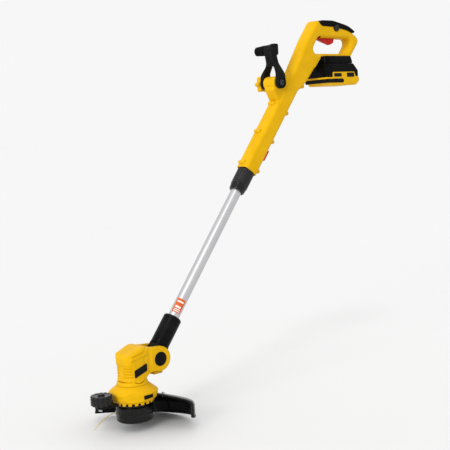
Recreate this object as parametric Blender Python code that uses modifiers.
"""Cordless string trimmer, built as separate pieces in metres with +Z up.

The origin is the middle of the rear handle's grip. Two empties carry the pieces: head_frame, on the spool's
axis at the spool's lowest face, and shaft_frame, on the head's pivot with its Z axis along the shaft.
Forward, towards the cutting head, is -X, and the operator's right is +Y.
"""

import math

import bmesh
import bpy
from mathutils import Matrix, Vector

MM = 0.001
GAP = 0.3 * MM

# Where things are, seen from the spool's axis at the spool's lowest face.
GRIP_FROM_SPOOL = Vector((660 * MM, 0, 825 * MM))
PIVOT = Vector((57 * MM, 0, 124 * MM))
SHAFT_TILT = math.radians(38)
BARREL = Vector((452 * MM, 0, 702 * MM))

# Shaft, collar and handle shell: distances along the shaft from the pivot, and across it.
TUBE_RADIUS = 12.5 * MM
TUBE_WALL = 1.2 * MM
TUBE_FROM, TUBE_TO = 26 * MM, 640 * MM
SOCKET_RADIUS = 20.5 * MM
SOCKET_FROM, SOCKET_TO = 28.5 * MM, 98 * MM
COLLAR_RADIUS, COLLAR_LOW_RADIUS = 20.3 * MM, 17 * MM
COLLAR_FROM, COLLAR_TO = 425 * MM, 480 * MM
SHELL_HALF_WIDTH = 18.5 * MM
SHELL_EDGE = 9.5 * MM
SHELL_WALL = 2.6 * MM
GUIDE_RADIUS = 14.2 * MM
BUTTON_AT = (23 * MM, 0, 541 * MM)

# Head.
TOWER_FRONT, TOWER_REAR = 28 * MM, 26 * MM
TOWER_FROM, TOWER_TO = 79.3 * MM, 158 * MM
TOWER_HALF_WIDTH, TOWER_EDGE = 29 * MM, 8 * MM
TOWER_CORNER = 18
EAR_RADIUS = 27 * MM
EAR_INNER, EAR_OUTER = 17.3 * MM, 28 * MM
KNUCKLE_RADIUS = 22 * MM
SKIRT_RADIUS = 54.5 * MM
BASE_WALL_RADIUS = 46.5 * MM
SKIRT_FLAT = 46.8 * MM
TEETH_RADIUS = 43 * MM
TEETH = 20

# Spool, guard and guide wheel.
SPOOL_RADIUS = 39.5 * MM
SPOOL_NECK_RADIUS = 35 * MM
EYELET_ANGLE = math.radians(143)
LATCH_ANGLES = (math.radians(195), math.radians(15))
LINE_RADIUS = 0.9 * MM
GUARD_RADIUS = 130 * MM
GUARD_FROM, GUARD_TO = math.radians(-50), math.radians(96)
GUARD_LOW_AT = math.radians(36)
GUARD_DROOP = math.radians(12)
WHEEL_AT = Vector((-78 * MM, 3 * MM, 0))
WHEEL_RADIUS = 23 * MM

# Trigger, lock-off button, battery and its foot.
TRIGGER_PIVOT = Vector((601 * MM, 0, 814 * MM))
LOCK_AT = Vector((655 * MM, 0, 832 * MM))
LOCK_RADIUS = 8 * MM
BATTERY_HALF_WIDTH = 37.5 * MM
CELL_RADIUS = 9.2 * MM
CELL_HEIGHT = 706 * MM

# Auxiliary handle.
ARM_INNER, ARM_OUTER = 20 * MM, 31.5 * MM
NEAR_ARM_LEAN, FAR_ARM_LEAN = 13 * MM, 20 * MM
BAR_AT = Vector((446 * MM, 0, 779 * MM))


# ---------------------------------------------------------------- tools


def clear_scene():
    for obj in list(bpy.data.objects):
        bpy.data.objects.remove(obj, do_unlink=True)


def new_collection(name):
    collection = bpy.data.collections.new(name)
    bpy.context.scene.collection.children.link(collection)
    return collection


def new_frame(name, at, tilt=0.0):
    frame = bpy.data.objects.new(name, None)
    frame.location = at
    frame.rotation_euler = (0, tilt, 0)
    PARTS.objects.link(frame)
    return frame


def new_material(name, color, roughness, metallic=0.0):
    material = bpy.data.materials.new(name)
    material.use_nodes = True
    shader = material.node_tree.nodes["Principled BSDF"]
    shader.inputs["Base Color"].default_value = (*color, 1)
    shader.inputs["Roughness"].default_value = roughness
    shader.inputs["Metallic"].default_value = metallic
    return material


def put(name, mesh, frame, at, material):
    """Make an object of the mesh, in its frame. With no material it is a helper, which no render shows."""
    obj = bpy.data.objects.new(name, mesh)
    obj.parent = frame
    obj.location = at
    if material is None:
        HELPERS.objects.link(obj)
        obj.hide_render = True
        obj.display_type = "WIRE"
    else:
        PARTS.objects.link(obj)
        mesh.materials.append(material)
    return obj


def put_bmesh(name, shape, frame, at, material, turn=None):
    if turn is not None:
        bmesh.ops.transform(shape, matrix=turn, verts=shape.verts)
    mesh = bpy.data.meshes.new(name)
    shape.to_mesh(mesh)
    shape.free()
    mesh.shade_smooth()
    mesh.set_sharp_from_angle(angle=math.radians(35))
    return put(name, mesh, frame, at, material)


def box(name, size, frame, at, material=None, turn=None, bevel=0.0):
    shape = bmesh.new()
    bmesh.ops.create_cube(shape, size=1, matrix=Matrix.Diagonal((*size, 1)))
    obj = put_bmesh(name, shape, frame, at, material, turn)
    if bevel:
        soften(obj, bevel)
    return obj


def soften(obj, width, segments=2):
    modifier = obj.modifiers.new("Soft edges", "BEVEL")
    modifier.width = width
    modifier.segments = segments
    modifier.limit_method = "ANGLE"
    modifier.angle_limit = math.radians(50)
    return obj


ALONG = {
    "X": Matrix.Rotation(math.radians(90), 4, "Y"),
    "Y": Matrix.Rotation(math.radians(-90), 4, "X"),
    "Z": Matrix.Identity(4),
}


def rod(name, radius, length, frame, at, material=None, axis="Z", end_radius=None, segments=28):
    """A cylinder or, with end_radius, a cone, centred on its origin."""
    shape = bmesh.new()
    bmesh.ops.create_cone(
        shape,
        cap_ends=True,
        segments=segments,
        radius1=radius,
        radius2=radius if end_radius is None else end_radius,
        depth=length,
    )
    return put_bmesh(name, shape, frame, at, material, ALONG[axis])


def turned(name, profile, frame, at, material=None, steps=40, axis="Z"):
    """Turn a profile of (radius, height) points in mm. It runs down the outer side, and closes by itself."""
    mesh = bpy.data.meshes.new(name)
    shape = bmesh.new()
    verts = [shape.verts.new((r * MM, 0, z * MM)) for r, z in profile]
    for first, second in zip(verts, verts[1:]):
        shape.edges.new((first, second))
    if profile[0][0] > 0:
        shape.edges.new((verts[-1], verts[0]))
    shape.to_mesh(mesh)
    shape.free()
    obj = put(name, mesh, frame, at, material)
    obj.matrix_parent_inverse = Matrix.Identity(4)
    if axis == "Y":
        obj.rotation_euler = (math.radians(-90), 0, 0)
    screw = obj.modifiers.new("Turn", "SCREW")
    screw.steps = steps
    screw.render_steps = steps
    screw.use_merge_vertices = True
    screw.merge_threshold = 0.00001
    screw.use_smooth_shade = True
    return obj


def rounded(corners, steps=5):
    """The outline through (x, y, radius) corners in mm, each corner rounded by an arc of that radius."""
    outline = []
    count = len(corners)
    for i, (x, y, radius) in enumerate(corners):
        here = Vector((x, y))
        back = Vector(corners[i - 1][:2]) - here
        ahead = Vector(corners[(i + 1) % count][:2]) - here
        half = back.angle(ahead) / 2
        reach = min(radius / math.tan(half), 0.49 * back.length, 0.49 * ahead.length)
        if reach < 0.2:
            outline.append(here)
            continue
        real_radius = reach * math.tan(half)
        centre = here + (back.normalized() + ahead.normalized()).normalized() * (real_radius / math.sin(half))
        start = here + back.normalized() * reach - centre
        sweep = start.angle_signed(here + ahead.normalized() * reach - centre)
        for step in range(steps + 1):
            turn = Matrix.Rotation(-sweep * step / steps, 2)
            outline.append(centre + turn @ start)
    return [point * MM for point in outline]


def flat_curve(outlines, half_thickness, edge, edge_steps, grow):
    curve = bpy.data.curves.new("outline", "CURVE")
    curve.dimensions = "2D"
    curve.fill_mode = "BOTH"
    curve.extrude = half_thickness - edge + grow
    curve.bevel_depth = edge
    curve.bevel_resolution = edge_steps
    curve.offset = grow - edge
    for outline in outlines:
        spline = curve.splines.new("POLY")
        spline.points.add(len(outline) - 1)
        for point, (x, y) in zip(spline.points, outline):
            point.co = (x, y, 0, 1)
        spline.use_cyclic_u = True
    return curve


def mesh_of_curve(name, curve):
    """The curve's shape as one welded mesh."""
    maker = bpy.data.objects.new(name + "_curve", curve)
    bpy.context.scene.collection.objects.link(maker)
    bpy.context.view_layer.update()
    graph = bpy.context.evaluated_depsgraph_get()
    mesh = bpy.data.meshes.new_from_object(maker.evaluated_get(graph))
    bpy.data.objects.remove(maker, do_unlink=True)
    shape = bmesh.new()
    shape.from_mesh(mesh)
    bmesh.ops.remove_doubles(shape, verts=shape.verts, dist=0.00001)
    bmesh.ops.recalc_face_normals(shape, faces=shape.faces)
    shape.to_mesh(mesh)
    shape.free()
    mesh.materials.clear()
    mesh.name = name
    return mesh


SIDEWAYS = Matrix.Rotation(math.radians(90), 4, "X")


def plate(
    name, outlines, half_thickness, frame, at, material=None, edge=0.0, edge_steps=1, lying=False, grow=0.0
):
    """A flat shape from outlines of (x, z) points, its thickness along Y, or along Z when lying."""
    mesh = mesh_of_curve(name, flat_curve(outlines, half_thickness, edge, edge_steps, grow))
    if not lying:
        mesh.transform(SIDEWAYS)
    mesh.shade_smooth()
    mesh.set_sharp_from_angle(angle=math.radians(35))
    return put(name, mesh, frame, at, material)


def cable(name, points, radius, frame, at, material, bevel_steps=2):
    """A round wire through points, in metres from its origin."""
    curve = bpy.data.curves.new(name, "CURVE")
    curve.dimensions = "3D"
    curve.bevel_depth = radius
    curve.bevel_resolution = bevel_steps
    curve.use_fill_caps = True
    spline = curve.splines.new("POLY")
    spline.points.add(len(points) - 1)
    for place, point in zip(spline.points, points):
        place.co = (*point, 1)
    obj = bpy.data.objects.new(name, curve)
    obj.parent = frame
    obj.location = at
    PARTS.objects.link(obj)
    curve.materials.append(material)


def combine(obj, other, operation):
    modifier = obj.modifiers.new(operation.title(), "BOOLEAN")
    modifier.operation = operation
    modifier.object = other
    modifier.solver = "EXACT"
    return obj


def cut(obj, *cutters):
    for cutter in cutters:
        combine(obj, cutter, "DIFFERENCE")
    return obj


def join(obj, *others):
    for other in others:
        combine(obj, other, "UNION")
    return obj


def keep(obj, region):
    return combine(obj, region, "INTERSECT")


def from_shaft(along, rearward):
    """The (x, z) place in the head's frame of a point in mm along the shaft and rearward of its axis."""
    place = PIVOT + Vector((math.sin(SHAFT_TILT), 0, math.cos(SHAFT_TILT))) * along * MM
    place += Vector((math.cos(SHAFT_TILT), 0, -math.sin(SHAFT_TILT))) * rearward * MM
    return place.x / MM, place.z / MM


def polar(radius, angle, height=0.0):
    return Vector((radius * math.cos(angle), radius * math.sin(angle), height))


# ---------------------------------------------------------------- handle


SHELL_CORNERS = [  # along the shaft, rearward of its axis, corner radius
    (468, 20.5, 0),
    (722, 20.5, 30),
    (752, 30, 12),
    (792, 34, 12),
]
SHELL_FRONT = [
    (898.2, -28, 15),
    (840, -28, 60),
    (752, -20.5, 20),
    (468, -20.5, 0),
]
BOSSES = [(491, -22), (578, -22), (657, -22), (496, 24), (579, 24), (661, 24)]


def shell_outline():
    corners = [(*from_shaft(along, back), radius) for along, back, radius in SHELL_CORNERS]
    corners += [(600, 757, 8), (703, 757, 13), (744, 806, 15), (704, 828, 60), (645, 841, 60),
                (605, 843, 3), (600, 849, 6)]
    corners += [(*from_shaft(along, back), radius) for along, back, radius in SHELL_FRONT]
    return rounded(corners, steps=3)


def window_outline():
    return rounded([(594.5, 808, 11), (717, 806, 10), (689, 770, 11), (566, 770, 11)], steps=3)


def cavity_outline():
    corners = [(465, 17.6, 0), (770, 17.6, 6), (800, 3, 6), (852, 2, 4)]
    corners = [(*from_shaft(*corner[:2]), corner[2]) for corner in corners]
    corners += [(606, 811, 2), (700, 810, 4), (694, 824, 4), (640, 837, 20), (608, 840.6, 4)]
    front = [(898, -25, 15), (840, -25, 20), (750, -17.6, 10), (465, -17.6, 0)]
    corners += [(*from_shaft(*corner[:2]), corner[2]) for corner in front]
    return rounded(corners, steps=3)


def boss_at(along, rearward, side=0.0):
    x, z = from_shaft(along, rearward)
    return Vector((x * MM, side, z * MM))


def lock_bore(name):
    """The room that the lock-off button needs, pressed in or not."""
    return rod(name, LOCK_RADIUS + GAP, 29 * MM, HEAD_FRAME, LOCK_AT - Vector((0, 17.5 * MM, 0)), axis="Y",
               segments=20)


def handle_shell(side, material):
    """One half of the yellow shell. side is -1 for the left half and 1 for the right."""
    name = "handle_shell_left" if side < 0 else "handle_shell_right"
    shell = plate(
        name,
        [shell_outline(), window_outline()],
        SHELL_HALF_WIDTH,
        HEAD_FRAME,
        (0, 0, 0),
        material,
        edge=SHELL_EDGE,
    )
    lug = rounded([(*from_shaft(660, -12), 6), (*from_shaft(678, -50), 9), (*from_shaft(712, -50), 9),
                   (*from_shaft(742, -12), 6)], steps=2)
    join(shell, plate(f"{name}_lug", [lug], 15.6 * MM, HEAD_FRAME, (0, 0, 0), edge=4 * MM))
    join(shell, rod(f"{name}_barrel", 16 * MM, 2 * SHELL_HALF_WIDTH, HEAD_FRAME, BARREL, axis="Y"))
    for i, (along, rearward) in enumerate(BOSSES):
        boss = rod(f"{name}_boss_{i}", 5 * MM, 20 * MM, HEAD_FRAME, boss_at(along, rearward), axis="Y",
                   segments=14)
        join(shell, boss)
    cavity = plate(f"{name}_cavity", [cavity_outline()], SHELL_HALF_WIDTH - SHELL_WALL, HEAD_FRAME,
                   (0, 0, 0),
                   edge=5 * MM)
    cut(shell, cavity)
    cut(shell, box(f"{name}_end", (80 * MM, 80 * MM, 30 * MM), SHAFT_FRAME, (0, 0, COLLAR_TO - 15 * MM)))
    for i, (along, rearward) in enumerate(BOSSES):
        at = boss_at(along, rearward)
        hole_at = at + Vector((0, 4 * MM, 0))
        cut(shell, rod(f"{name}_hole_{i}", 2 * MM, 22 * MM, HEAD_FRAME, hole_at, axis="Y", segments=8))
        if side > 0:
            seat_at = at + Vector((0, 23.2 * MM, 0))
            cut(shell, rod(f"{name}_seat_{i}", 3.5 * MM, 30 * MM, HEAD_FRAME, seat_at, axis="Y",
                           segments=12))
    cut(shell, rod(f"{name}_barrel_hole", 4.4 * MM, 60 * MM, HEAD_FRAME, BARREL, axis="Y", segments=16))
    cut(shell, box(f"{name}_trigger_slot", (65 * MM, 13 * MM, 14 * MM), HEAD_FRAME,
                   (631.5 * MM, 0, 806 * MM)))
    if side < 0:
        cut(shell, lock_bore(f"{name}_lock_bore"))
    cut(shell, box(f"{name}_button_slot", (14 * MM, 18 * MM, 29 * MM), SHAFT_FRAME, BUTTON_AT))
    half = box(f"{name}_half", (700 * MM, 60 * MM, 900 * MM), HEAD_FRAME,
               (500 * MM, side * (30 * MM + GAP / 2), 650 * MM))
    return keep(shell, half)


def shell_screw(number, along, rearward, material):
    """A pan-head screw, driven from the right into the left half's blind boss."""
    at = boss_at(along, rearward)
    screw = rod(f"shell_screw_{number}", 1.6 * MM, 17 * MM, HEAD_FRAME, at + Vector((0, 2.5 * MM, 0)), material,
                axis="Y", segments=8)
    head_at = at + Vector((0, 9.5 * MM, 0))
    return join(screw, rod(f"shell_screw_{number}_head", 3 * MM, 2 * MM, HEAD_FRAME, head_at, axis="Y",
                           segments=12))


def grip_pad(material):
    """The soft pad over the top bar, thick at the front."""
    outline = rounded([(606, 835, 5), (650, 833, 60), (690, 828, 40), (718, 820, 3), (722, 825, 4),
                       (698, 838.5, 80), (645, 850, 80), (607, 850, 3), (602, 842, 3)], steps=3)
    pad = plate("grip_pad", [outline], SHELL_HALF_WIDTH + 1.4 * MM, HEAD_FRAME, (0, 0, 0), material,
                edge=3 * MM)
    cut(pad, plate("grip_pad_seat", [shell_outline()], SHELL_HALF_WIDTH, HEAD_FRAME, (0, 0, 0),
                   edge=SHELL_EDGE,
                   grow=GAP))
    cut(pad, lock_bore("grip_pad_notch"))


def trigger(material):
    """The red trigger. Its origin is its pivot, at the front of the top bar."""
    pivot = TRIGGER_PIVOT
    outline = rounded([(-2, 4, 2), (56, 2, 2), (57, -10, 2), (55, -17, 4), (43, -22, 4), (8, -11, 10),
                       (-3, -6, 2)], steps=3)
    body = plate("trigger", [outline], 6 * MM, HEAD_FRAME, pivot, material, edge=1.5 * MM)
    return join(body, rod("trigger_trunnions", 1.5 * MM, 24 * MM, HEAD_FRAME, pivot, axis="Y", segments=12))


def trigger_group(red, black):
    trigger(red)
    box("power_switch", (26 * MM, 14 * MM, 13 * MM), HEAD_FRAME, (627 * MM, 0, 829 * MM), black)
    lock = rod("lock_off_button", LOCK_RADIUS, 14 * MM, HEAD_FRAME, LOCK_AT - Vector((0, 15 * MM, 0)),
               black,
               axis="Y", segments=20)
    soften(lock, 1.5 * MM)


def battery_foot(black, metal):
    """The black foot round the lower bar: two rails hold the battery, closed at the front."""
    foot = box("battery_foot", (100 * MM, 72 * MM, 18 * MM), HEAD_FRAME, (642 * MM, 0, 754 * MM), black,
               bevel=4 * MM)
    cut(foot, plate("foot_seat", [shell_outline()], SHELL_HALF_WIDTH, HEAD_FRAME, (0, 0, 0),
                    edge=SHELL_EDGE,
                    grow=1.4 * GAP))
    cut(foot, box("foot_channel", (100 * MM, 48 * MM, 6.4 * MM), HEAD_FRAME, (648 * MM, 0, 752.2 * MM)))
    cut(foot, box("foot_mouth", (100 * MM, 40.6 * MM, 12 * MM), HEAD_FRAME, (648 * MM, 0, 744 * MM)))
    box("terminal_block", (6 * MM, 34 * MM, 5.6 * MM), HEAD_FRAME, (601.5 * MM, 0, 752.2 * MM), metal)


def battery(black, yellow, steel, grey):
    """The slide-in battery: two case halves, five cells and a latch. The slide runs rearward."""
    half = BATTERY_HALF_WIDTH
    top_outline = rounded([(594, 712.2, 0), (708, 712.2, 0), (706, 719, 8), (689, 744.6, 5),
                           (592, 744.6, 3)],
                          steps=3)
    upper = plate("battery_upper_case", [top_outline], half, HEAD_FRAME, (0, 0, 0), black, edge=2 * MM)
    join(upper, box("tower_neck", (70 * MM, 39.6 * MM, 12 * MM), HEAD_FRAME, (643 * MM, 0, 745 * MM)))
    join(upper, box("tower_top", (70 * MM, 47 * MM, 5.4 * MM), HEAD_FRAME, (643 * MM, 0, 752.2 * MM)))
    cut(upper, box("upper_hollow", (100 * MM, 68 * MM, 30 * MM), HEAD_FRAME, (648 * MM, 0, 713 * MM)))
    cut(upper, box("latch_slot", (11 * MM, 32 * MM, 22 * MM), HEAD_FRAME, (692 * MM, 0, 738 * MM)))
    low_outline = rounded([(595, 711.8, 0), (596, 703, 3), (607, 692, 5), (699, 692, 6), (708, 701, 5),
                           (708, 711.8, 0)], steps=3)
    lower = plate("battery_lower_case", [low_outline], half, HEAD_FRAME, (0, 0, 0), yellow, edge=2 * MM)
    cut(lower, box("lower_hollow", (102 * MM, 68 * MM, 30 * MM), HEAD_FRAME, (651 * MM, 0, 710 * MM)))
    for i in range(5):
        at = Vector(((613 + 19 * i) * MM, 0, CELL_HEIGHT))
        rod(f"battery_cell_{i + 1}", CELL_RADIUS, 65 * MM, HEAD_FRAME, at, steel, axis="Y", segments=16)
    box("battery_latch", (9.6 * MM, 30 * MM, 11 * MM), HEAD_FRAME, (692 * MM, 0, 739 * MM), grey,
        bevel=1.5 * MM)


# ---------------------------------------------------------------- auxiliary handle


def fork_arm(name, side, lean, material=None):
    """One arm, from its disc on the barrel to the bar. Above the disc it leans towards the middle."""
    reach = BAR_AT - BARREL
    x, z = reach.x / MM, reach.z / MM
    outline = rounded([(-14, -14, 14), (14, -14, 14), (14.5, 4, 12), (10, 24, 10), (8, 36, 10),
                       (x + 7, z - 16, 10),
                       (x + 6, z + 10.5, 5), (x - 5, z + 10.5, 5), (x - 7, z - 16, 10), (-8, 36, 10),
                       (-11, 24, 10), (-15, 5, 12)], steps=3)
    middle = (ARM_INNER + ARM_OUTER) / 2
    arm = plate(name, [outline], (ARM_OUTER - ARM_INNER) / 2, HEAD_FRAME, BARREL, material, edge=2 * MM)
    for vert in arm.data.vertices:
        vert.co.y += side * middle
        rise = min(1, max(0, (vert.co.z / MM - 16) / 34))
        vert.co.y -= side * lean * rise * rise * (3 - 2 * rise)
    return arm


def aux_handle(black, soft, steel, yellow):
    """A fork that straddles the barrel, with a sideways bar on top. Its origin is the barrel's axis."""
    reach = BAR_AT - BARREL
    x, z = reach.x / MM, reach.z / MM
    fork = fork_arm("aux_handle", -1, NEAR_ARM_LEAN, black)
    web_outline = rounded([(x - 5, z - 38, 3), (x + 7, z - 38, 3), (x + 6, z + 2, 3), (x - 5, z + 2, 3)],
                          steps=2)
    web = plate("aux_web", [web_outline], 10 * MM, HEAD_FRAME, BARREL - Vector((0, 3 * MM, 0)), edge=2 * MM)
    bar_from, bar_to = -20 * MM, 27 * MM
    bar = rod("aux_bar", 14 * MM, bar_to - bar_from, HEAD_FRAME,
              BAR_AT + Vector((0, (bar_from + bar_to) / 2, 0)),
              axis="Y", end_radius=11.5 * MM, segments=24)
    bar.scale = (0.72, 1, 1)
    core = rod("aux_core", 5 * MM, 22 * MM, HEAD_FRAME, BAR_AT + Vector((0, 34 * MM, 0)), axis="Y",
               segments=14)
    join(fork, fork_arm("aux_far_arm", 1, FAR_ARM_LEAN), web, bar, core)
    cut(fork, rod("aux_bore", 4.4 * MM, 90 * MM, HEAD_FRAME, BARREL, axis="Y", segments=16))
    cut(fork, rod("aux_recess", 9 * MM, 6 * MM, HEAD_FRAME, BARREL - Vector((0, ARM_OUTER, 0)), axis="Y",
                  segments=20))
    profile = [(7, 19), (8.5, 19), (10.5, 17), (11.8, 0), (7, 0)]
    grip = turned("aux_grip_end", profile, HEAD_FRAME, BAR_AT + Vector((0, 27.4 * MM, 0)), soft, steps=24,
                  axis="Y")
    grip.scale = (0.72 + 0.06, 1, 1)
    bolt = rod("aux_bolt", 4 * MM, 75 * MM, HEAD_FRAME, BARREL + Vector((0, 7 * MM, 0)), steel, axis="Y",
               segments=16)
    join(bolt, rod("aux_bolt_head", 7.5 * MM, 2.4 * MM, HEAD_FRAME, BARREL - Vector((0, 30 * MM, 0)),
                   axis="Y",
                   segments=6))
    lobes = [
        Vector((math.cos(t), math.sin(t))) * (17 + 3 * math.cos(6 * t)) * MM
        for t in (2 * math.pi * i / 36 for i in range(36))
    ]
    at = BARREL + Vector((0, 38.5 * MM, 0))
    knob = plate("aux_knob", [lobes], 6.5 * MM, HEAD_FRAME, at, yellow, edge=1.5 * MM)
    cut(knob, rod("aux_knob_bore", 4.3 * MM, 40 * MM, HEAD_FRAME, at, axis="Y", segments=16))


# ---------------------------------------------------------------- shaft


def shaft(aluminium, black, red):
    """The telescoping tube with its socket, and the collar and guide that hold it."""
    tube = TUBE_RADIUS / MM
    inner = tube - TUBE_WALL / MM
    turned("inner_tube", [(inner, TUBE_TO / MM), (tube, TUBE_TO / MM), (tube, TUBE_FROM / MM),
                          (inner, TUBE_FROM / MM)], SHAFT_FRAME, (0, 0, 0), aluminium, steps=32)
    low, high, low_r = COLLAR_FROM / MM, COLLAR_TO / MM, COLLAR_LOW_RADIUS / MM
    wide = COLLAR_RADIUS / MM
    bore = GUIDE_RADIUS / MM + 0.3
    turned("lock_collar", [(bore, high - 0.3), (wide - 1, high - 0.3), (wide, high - 1.5), (wide, low + 14),
                           (low_r + 1, low + 2), (low_r, low), (bore, low)],
           SHAFT_FRAME, (0, 0, 0), black, steps=36)
    flange = 15.2
    guide = GUIDE_RADIUS / MM
    turned("tube_guide", [(tube + 0.3, 540), (guide, 540), (guide, 491), (flange, 491), (flange, 485),
                          (guide, 485), (guide, 428), (tube + 0.3, 428)],
           SHAFT_FRAME, (0, 0, 0), black, steps=28)
    socket = rod("shaft_socket", KNUCKLE_RADIUS, 2 * (EAR_INNER - GAP), SHAFT_FRAME, (0, 0, 0), black,
                 axis="Y",
                 segments=32)
    low, high, wide = SOCKET_FROM / MM, SOCKET_TO / MM, SOCKET_RADIUS / MM
    sleeve = turned("socket_sleeve", [(0, high), (wide - 3, high), (wide - 0.8, high - 0.8),
                                      (wide, high - 3),
                                      (wide, low), (0, low)], SHAFT_FRAME, (0, 0, 0), steps=32)
    neck = box("socket_neck", (30 * MM, 2 * (EAR_INNER - GAP), 28 * MM), SHAFT_FRAME, (0, 0, 18 * MM))
    join(socket, neck, sleeve)
    cut(socket, rod("socket_bore", TUBE_RADIUS + GAP, 90 * MM, SHAFT_FRAME, (0, 0, 25.5 * MM + 45 * MM),
                    segments=32))
    cut(socket, rod("socket_pin_bore", 4.3 * MM, 60 * MM, SHAFT_FRAME, (0, 0, 0), axis="Y", segments=16))
    box("rotation_button", (10.5 * MM, 17 * MM, 28 * MM), SHAFT_FRAME, BUTTON_AT, red, bevel=2 * MM)
    lead = [(0, 0, (31 + 30 * i) * MM) for i in range(21)]
    cable("motor_lead", lead, 2.4 * MM, SHAFT_FRAME, (0, 0, 0), black)


# ---------------------------------------------------------------- cutting head


def lug_outline():
    """The side of the lug that carries the pivot ears."""
    x, z, ear = PIVOT.x / MM, PIVOT.z / MM, EAR_RADIUS / MM
    corners = [(-8, z + 26, 6), (24, z + ear + 3, 40)]
    corners += [(x + ear * math.cos(t), z + ear * math.sin(t), 0)
                for t in (math.radians(90 - 18 * i) for i in range(12))]
    corners += [(30, z - 24, 8), (18, 90, 6), (-8, 90, 4)]
    return rounded(corners, steps=3)


def motor_housing(side, material):
    """Half of the motor housing: a tower with a slanted top, and an ear on the head's pivot."""
    name = "motor_housing_left" if side < 0 else "motor_housing_right"
    low, high = TOWER_FROM / MM, TOWER_TO / MM
    front, rear, wide = TOWER_FRONT / MM, TOWER_REAR / MM, TOWER_HALF_WIDTH / MM
    side_view = rounded([(-front, low - 20, 0), (-front, high - 15, 14), (8, high, 12), (rear, high, 12),
                         (rear, low - 20, 0)], steps=3)
    housing = plate(name, [side_view], TOWER_HALF_WIDTH, HEAD_FRAME, (0, 0, 0), material, edge=TOWER_EDGE,
                    edge_steps=2)
    top_view = rounded([(-front, -wide, TOWER_CORNER), (rear, -wide, TOWER_CORNER),
                        (rear, wide, TOWER_CORNER),
                        (-front, wide, TOWER_CORNER)], steps=5)
    keep(housing, plate(f"{name}_plan", [top_view], 60 * MM, HEAD_FRAME, (0, 0, TOWER_FROM + 60 * MM),
                        lying=True))
    foot = turned(f"{name}_foot", [(0, 94), (27, 94), (33, 84), (34, low), (0, low)], HEAD_FRAME,
                  (-1 * MM, 0, 0),
                  steps=28)
    join(housing, foot, plate(f"{name}_lug", [lug_outline()], EAR_OUTER, HEAD_FRAME, (0, 0, 0),
                              edge=3 * MM))
    cut(housing, turned(f"{name}_hollow", [(0, 143), (17, 143), (19.4, 140), (19.4, 70), (0, 70)],
                        HEAD_FRAME,
                        (0, 0, 0), steps=24))
    slot = 2 * EAR_INNER
    cut(housing, rod(f"{name}_knuckle", KNUCKLE_RADIUS + 1.2 * MM, slot, HEAD_FRAME, PIVOT, axis="Y",
                     segments=30))
    cut(housing, box(f"{name}_slot", (60 * MM, slot, 100 * MM), HEAD_FRAME,
                     PIVOT + Vector((30.5 * MM, 0, 0))))
    cut(housing, box(f"{name}_top_slot", (60 * MM, slot, 60 * MM), HEAD_FRAME,
                     PIVOT + Vector((9 * MM, 0, 37 * MM))))
    cut(housing, rod(f"{name}_bore", 4.4 * MM, 100 * MM, HEAD_FRAME, PIVOT, axis="Y", segments=16))
    cut(housing, rod(f"{name}_seat", 15.3 * MM, 6 * MM, HEAD_FRAME,
                     PIVOT + Vector((0, side * EAR_OUTER, 0)),
                     axis="Y", segments=28))
    cut(housing, box(f"{name}_release_pocket", (25.2 * MM, 33.2 * MM, 5.2 * MM), HEAD_FRAME,
                     (57 * MM, 0, 96.5 * MM)))
    for i in range(4):
        vent = box(f"{name}_vent_{i}", (7 * MM, 20 * MM, 2.2 * MM), HEAD_FRAME,
                   Vector((-23.9 * MM, side * 24.9 * MM, (98 + 6 * i) * MM)))
        vent.rotation_euler = (0, 0, math.radians(-side * 45))
        cut(housing, vent)
    half = box(f"{name}_half", (300 * MM, 80 * MM, 300 * MM), HEAD_FRAME,
               (0, side * (40 * MM + GAP / 2), 100 * MM))
    return keep(housing, half)


def name_plate(material):
    """A blank black plate on the tower's left side."""
    outline = rounded([(-13, 96, 1.5), (19, 107, 1.5), (19, 123, 1.5), (-13, 112, 1.5)], steps=2)
    plate("name_plate", [outline], 0.4 * MM, HEAD_FRAME, (0, -TOWER_HALF_WIDTH - 0.8 * MM, 0), material)


def base_cover(material):
    """The flared skirt under the tower, flat on both sides, with a toothed lower rim."""
    wall, teeth, skirt = BASE_WALL_RADIUS / MM, TEETH_RADIUS / MM, SKIRT_RADIUS / MM
    cover = turned("base_cover", [(0, 79), (36, 79), (41, 75), (skirt, 64), (skirt, 58), (0, 58)],
                   HEAD_FRAME,
                   (0, 0, 0), material, steps=36)
    for side in (-1, 1):
        cut(cover, box(f"skirt_flat_{side}", (200 * MM, 40 * MM, 60 * MM), HEAD_FRAME,
                       (0, side * (SKIRT_FLAT + 20 * MM), 70 * MM)))
    wall_profile = [(0, 62), (wall, 62), (wall, 47.5), (teeth, 45.5), (teeth, 40), (0, 40)]
    join(cover, turned("base_wall", wall_profile, HEAD_FRAME, (0, 0, 0), steps=36))
    cut(cover, turned("base_hollow", [(0, 72), (34, 72), (teeth - 3, 64), (teeth - 3, 20), (0, 20)],
                      HEAD_FRAME,
                      (0, 0, 0), steps=36))
    cut(cover, rod("motor_bore", 8 * MM, 60 * MM, HEAD_FRAME, (0, 0, 80 * MM), segments=16))
    notch = bmesh.new()
    for i in range(TEETH):
        turn = Matrix.Rotation(2 * math.pi * i / TEETH, 4,
                               "Z") @ Matrix.Translation((TEETH_RADIUS, 0, 40 * MM))
        bmesh.ops.create_cube(notch, size=1, matrix=turn @ Matrix.Diagonal((12 * MM, 6 * MM, 9 * MM, 1)))
    cut(cover, put_bmesh("teeth_notches", notch, HEAD_FRAME, (0, 0, 0), None))


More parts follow.
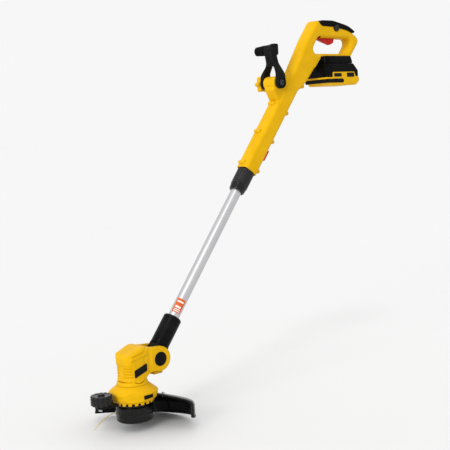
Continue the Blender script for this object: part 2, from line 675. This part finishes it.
def pivot_parts(black, steel, yellow):
    rod("pivot_bolt", 4 * MM, 2 * (EAR_OUTER - 4 * MM), HEAD_FRAME, PIVOT, steel, axis="Y", segments=16)
    for name, side in (("pivot_cap_left", -1), ("pivot_cap_right", 1)):
        at = PIVOT + Vector((0, side * (EAR_OUTER - 1 * MM), 0))
        soften(rod(name, 15 * MM, 3 * MM, HEAD_FRAME, at, black, axis="Y", segments=32), 0.6 * MM, 1)
    box("tilt_release", (24 * MM, 32 * MM, 7 * MM), HEAD_FRAME, (57 * MM, 0, 93 * MM), yellow,
        bevel=2.5 * MM)


def drive(steel, black):
    can = rod("motor_can", 18.5 * MM, 58 * MM, HEAD_FRAME, (0, 0, 109.5 * MM), steel, segments=24)
    cut(can, rod("can_bore", 3 * MM, 40 * MM, HEAD_FRAME, (0, 0, 92 * MM), segments=12))
    rod("drive_shaft", 2.5 * MM, 66 * MM, HEAD_FRAME, (0, 0, 75 * MM), steel, segments=12)
    blades = [
        Vector((math.cos(t), math.sin(t))) * (21 + 7 * math.cos(9 * t)) * MM
        for t in (2 * math.pi * i / 54 for i in range(54))
    ]
    fan = plate("cooling_fan", [blades], 3 * MM, HEAD_FRAME, (0, 0, 62 * MM), black, lying=True)
    cut(fan, rod("fan_bore", 2.8 * MM, 20 * MM, HEAD_FRAME, (0, 0, 62 * MM), segments=12))


def spool(black, grey, line_color, steel):
    """The line head, from the motor shaft down to the cap."""
    wide, neck = SPOOL_RADIUS / MM, SPOOL_NECK_RADIUS / MM
    drum = turned("spool_housing", [(3, 41), (10, 41), (12, 39.5), (neck, 39.5), (neck, 34.5),
                                    (wide - 1.5, 33.5),
                                    (wide, 32), (wide, 6), (wide - 3, 6), (wide - 3, 30.5), (10, 30.5),
                                    (8, 28),
                                    (3, 28)],
                  HEAD_FRAME, (0, 0, 0), black, steps=32)
    cut(drum, rod("eyelet_bore", 3.3 * MM, 12 * MM, HEAD_FRAME, polar(SPOOL_RADIUS, EYELET_ANGLE, 17 * MM),
                  axis="X", segments=12))
    bpy.data.objects["eyelet_bore"].rotation_euler = (0, 0, EYELET_ANGLE)
    for i, angle in enumerate(LATCH_ANGLES):
        window = box(f"latch_window_{i}", (12 * MM, 12.6 * MM, 9.6 * MM), HEAD_FRAME,
                     polar(SPOOL_RADIUS - 1 * MM, angle, 17 * MM))
        window.rotation_euler = (0, 0, angle)
        cut(drum, window)
        latch = box(f"cap_latch_{i + 1}", (3 * MM, 12 * MM, 9 * MM), HEAD_FRAME,
                    polar(SPOOL_RADIUS - 1.6 * MM, angle, 17 * MM), black)
        latch.rotation_euler = (0, 0, angle)
    turned("spool_cap", [(0, 2.5), (wide - 6, 2.5), (wide - 4, 5.7), (wide, 5.7), (wide - 0.6, 2.5),
                         (wide - 4, 0),
                         (0, 0)], HEAD_FRAME, (0, 0, 0), black, steps=32)
    turned("line_reel", [(5, 25), (33, 25), (33, 23.5), (14, 23.5), (14, 10), (33, 10), (33, 8.5),
                         (5, 8.5)],
           HEAD_FRAME, (0, 0, 0), grey, steps=28)
    turned("wound_line", [(14.3, 23.2), (29, 23.2), (30, 21), (30, 12.5), (29, 10.3), (14.3, 10.3)],
           HEAD_FRAME,
           (0, 0, 0), line_color, steps=28)
    coil = []
    for i in range(29):
        turn = 2 * math.pi * i / 8
        coil.append((3.6 * MM * math.cos(turn), 3.6 * MM * math.sin(turn), (3.4 + 20 * i / 28) * MM))
    cable("spool_spring", coil, 0.6 * MM, HEAD_FRAME, (0, 0, 0), steel, bevel_steps=0)
    grommet = turned("line_eyelet", [(1.7, 2.6), (4.4, 2.6), (4.4, 1.4), (3, 1), (3, -2), (1.7, -2)],
                     HEAD_FRAME,
                     polar(SPOOL_RADIUS - 1 * MM, EYELET_ANGLE, 17 * MM), steel, steps=14)
    grommet.rotation_euler = (0, math.radians(90), EYELET_ANGLE)


LINE_POINTS = [  # from inside the eyelet to the cut end, in mm in the head's frame
    (-29, 21.8, 17),
    (-33.4, 25.1, 17),
    (-45, 24.8, 16.1),
    (-62, 22.2, 11.6),
    (-77.5, 18.3, 6.3),
    (-95.2, 10.9, -1.9),
]


def cutting_line(color):
    """The free end of the nylon line, curled by the reel that it was wound on."""
    controls = [Vector(point) * MM for point in LINE_POINTS]
    path = []
    last = len(controls) - 1
    for i in range(last):
        before, here = controls[max(i - 1, 0)], controls[i]
        ahead, after = controls[i + 1], controls[min(i + 2, last)]
        for step in range(4):
            t = step / 4
            path.append(0.5 * ((2 * here) + (ahead - before) * t + (2 * before - 5 * here + 4 * ahead - after) * t ** 2
                               + (3 * here - before - 3 * ahead + after) * t ** 3))
    path.append(controls[last])
    cable("cutting_line", path, LINE_RADIUS, HEAD_FRAME, (0, 0, 0), color, bevel_steps=2)


def guard_frame():
    """The guard droops towards one side. Its frame's X axis points there."""
    frame = new_frame("guard_frame", -GRIP_FROM_SPOOL + Vector((0, 0, 57.3 * MM)))
    frame.rotation_euler = (0, GUARD_DROOP, GUARD_LOW_AT)
    return frame


def guard_parts(black, steel):
    frame = guard_frame()
    rim = GUARD_RADIUS / MM
    profile = [(48, -0.5), (56, -1), (90, -7), (116, -13), (rim - 4, -17), (rim, -23), (rim + 1.5, -51),
               (rim - 1.5, -51), (rim - 3, -25), (rim - 7, -20), (114, -16), (89, -10), (56, -4), (48, -4)]
    guard = turned("guard", profile, frame, (0, 0, 0), black, steps=48)
    start, end = GUARD_FROM - GUARD_LOW_AT, GUARD_TO - GUARD_LOW_AT
    arc = [polar(300 * MM, start + (end - start) * i / 12).xy for i in range(13)]
    keep(guard, plate("guard_sweep", [[Vector((0, 0))] + arc], 80 * MM, frame, (0, 0, -30 * MM),
                      lying=True))
    rib = box("guard_rib", (5 * MM, 4 * MM, 24 * MM), frame, polar(126 * MM, -1.1, -36 * MM))
    rib.rotation_euler = (0, 0, -1.1)
    join(guard, rib)
    for i, angle in enumerate((start + 0.4, end - 0.4)):
        at = polar(64 * MM, angle, -4 * MM)
        cut(guard, rod(f"guard_hole_{i}", 2.3 * MM, 30 * MM, frame, at, segments=10))
        screw = rod(f"guard_screw_{i + 1}", 2 * MM, 11 * MM, frame, at - Vector((0, 0, 1.6 * MM)), steel,
                    segments=10)
        join(screw, rod(f"guard_screw_head_{i}", 4 * MM, 2.4 * MM, frame, at + Vector((0, 0, 3.7 * MM)),
                        segments=12))
    blade = box("line_cutter", (15 * MM, 2 * MM, 16 * MM), frame, polar(118 * MM, end - 0.03, -38 * MM),
                steel)
    blade.rotation_euler = (0, 0, end)


def guide_wheel(black, steel):
    wheel_radius = WHEEL_RADIUS / MM
    ribs = [
        Vector((math.cos(t), math.sin(t))) * (wheel_radius - 0.9 + 0.9 * math.cos(16 * t)) * MM
        for t in (2 * math.pi * i / 48 for i in range(48))
    ]
    wheel = plate("guide_wheel", [ribs], 10.5 * MM, HEAD_FRAME, WHEEL_AT + Vector((0, 0, 59.5 * MM)), black,
                  edge=1.5 * MM, lying=True)
    cut(wheel, rod("wheel_bore", 4.3 * MM, 60 * MM, HEAD_FRAME, WHEEL_AT + Vector((0, 0, 60 * MM)),
                   segments=16))
    outline = rounded([(-91, -11, 10), (-91, 17, 10), (-58, 20, 6), (-47.5, 20, 1), (-47.5, -16, 1),
                       (-58, -14, 6)], steps=3)
    bracket = plate("wheel_bracket", [outline], 2.6 * MM, HEAD_FRAME, (0, 0, 45 * MM), black, edge=1 * MM,
                    lying=True)
    cut(bracket, rod("bracket_bore", 3.3 * MM, 30 * MM, HEAD_FRAME, WHEEL_AT + Vector((0, 0, 45 * MM)),
                     segments=14))
    axle = rod("wheel_axle", 3 * MM, 33 * MM, HEAD_FRAME, WHEEL_AT + Vector((0, 0, 57 * MM)), steel,
               segments=14)
    join(axle, rod("wheel_axle_head", 7 * MM, 3 * MM, HEAD_FRAME, WHEEL_AT + Vector((0, 0, 72 * MM)),
                   segments=20))


def build():
    yellow = new_material("yellow_plastic", (0.83, 0.47, 0.01), 0.42)
    black = new_material("black_plastic", (0.02, 0.02, 0.022), 0.5)
    soft = new_material("soft_grip", (0.012, 0.012, 0.013), 0.75)
    red = new_material("red_plastic", (0.6, 0.02, 0.015), 0.38)
    grey = new_material("grey_plastic", (0.18, 0.18, 0.19), 0.5)
    aluminium = new_material("aluminium", (0.72, 0.72, 0.74), 0.3, 1.0)
    steel = new_material("steel", (0.5, 0.5, 0.52), 0.32, 1.0)
    copper = new_material("terminal_copper", (0.75, 0.42, 0.25), 0.35, 1.0)
    nylon = new_material("nylon_line", (0.75, 0.66, 0.22), 0.4)
    for side in (-1, 1):
        handle_shell(side, yellow)
        motor_housing(side, yellow)
    for number, (along, rearward) in enumerate(BOSSES, 1):
        shell_screw(number, along, rearward, steel)
    grip_pad(soft)
    trigger_group(red, black)
    battery_foot(black, copper)
    battery(black, yellow, steel, grey)
    aux_handle(black, soft, steel, yellow)
    shaft(aluminium, black, red)
    name_plate(black)
    base_cover(yellow)
    pivot_parts(black, steel, yellow)
    drive(steel, black)
    spool(black, grey, nylon, steel)
    cutting_line(nylon)
    guard_parts(black, steel)
    guide_wheel(black, steel)


clear_scene()
PARTS = new_collection("string_trimmer")
HELPERS = new_collection("cutters")
HEAD_FRAME = new_frame("head_frame", -GRIP_FROM_SPOOL)
SHAFT_FRAME = new_frame("shaft_frame", PIVOT - GRIP_FROM_SPOOL, SHAFT_TILT)
build()
